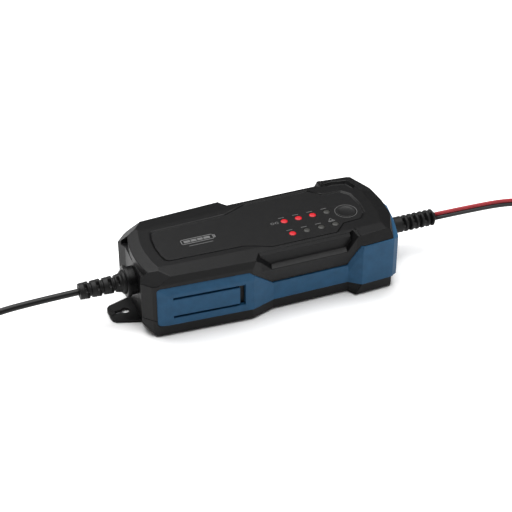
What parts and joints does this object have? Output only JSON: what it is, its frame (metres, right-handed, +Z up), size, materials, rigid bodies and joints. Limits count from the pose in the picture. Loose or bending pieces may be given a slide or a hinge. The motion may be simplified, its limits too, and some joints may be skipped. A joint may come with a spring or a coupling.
{
  "type": "car battery charger",
  "caption": "Flat battery charger with a waisted plastic case, coloured side band, finger recesses, lamp panel, push button, keyhole ear, mains lead and low-voltage lead.",
  "frame": {"origin": "middle of the case's footprint, with its leads left out, on the face that it rests on", "axes": "+X along the case from the mains lead to the low-voltage lead, +Z up through the panel"},
  "size_m": [0.6516, 0.0818, 0.0501],
  "materials": {
    "case_black": "fine spark texture",
    "band_blue": "fine spark texture",
    "panel_film": "satin film",
    "lamp_lit": "glowing red",
    "lamp_unlit": "diffused, unlit",
    "button_cap": "satin",
    "board": "solder resist",
    "ferrite": "dull",
    "winding_tape": "tape",
    "copper_winding": "enamelled wire",
    "can_sleeve": "shrink sleeve",
    "aluminium": "extruded",
    "epoxy": "moulded",
    "fuse_glass": "clear",
    "spring_brass": "bright",
    "soft_black": "moulded rubber",
    "film_yellow": "box capacitor",
    "relay_blue": "moulded",
    "terminal_green": "moulded",
    "core_insulation": "wire insulation",
    "lead_insulation": "twin wire insulation",
    "screw_steel": "zinc plated",
    "plug_black": "satin",
    "nickel": "nickel plated"
  },
  "bodies": {
    "charger": {"top_cover": "case_black", "bottom_case": "case_black", "side_band": "band_blue", "panel_overlay": "panel_film", "lamps_lit": "lamp_lit", "lamps_unlit": "lamp_unlit", "main_board": "board", "indicator_board": "board", "transformer_core": "ferrite", "transformer_winding": "winding_tape", "input_choke": "copper_winding", "bulk_capacitor": "can_sleeve", "output_capacitors": "can_sleeve", "heatsink": "aluminium", "power_devices": "epoxy", "fuse_link": "fuse_glass", "fuse_clips": "spring_brass", "tact_switch": "epoxy", "button_return_ring": "soft_black", "board_link": "epoxy", "film_capacitor": "film_yellow", "control_chip": "epoxy", "output_relay": "relay_blue", "mains_terminal": "terminal_green", "lead_terminal": "terminal_green", "gland_body": "case_black", "gland_cap": "case_black", "mains_boot": "soft_black", "lead_boot": "soft_black", "mains_cores": "core_insulation", "lead_cores": "lead_insulation", "case_screws": "screw_steel", "board_screws": "screw_steel", "indicator_screws": "screw_steel", "mains_cord": "soft_black", "mains_coil": "soft_black", "mains_coil_tie": "soft_black", "lead_cord": "lead_insulation", "lead_coil": "lead_insulation", "lead_coil_tie": "soft_black", "mains_plug_body": "plug_black", "mains_plug_pins": "nickel", "lead_connector_housing": "plug_black", "lead_connector_contacts": "spring_brass"},
    "button": {"mode_button": "button_cap"}
  },
  "joints": [
    {"name": "mode_button_press", "type": "slide", "parent": "charger", "child": "button", "axis": [0, 0, -1], "range_m": [0, 0.0007], "stiffness_N_per_m": 900}
  ]
}
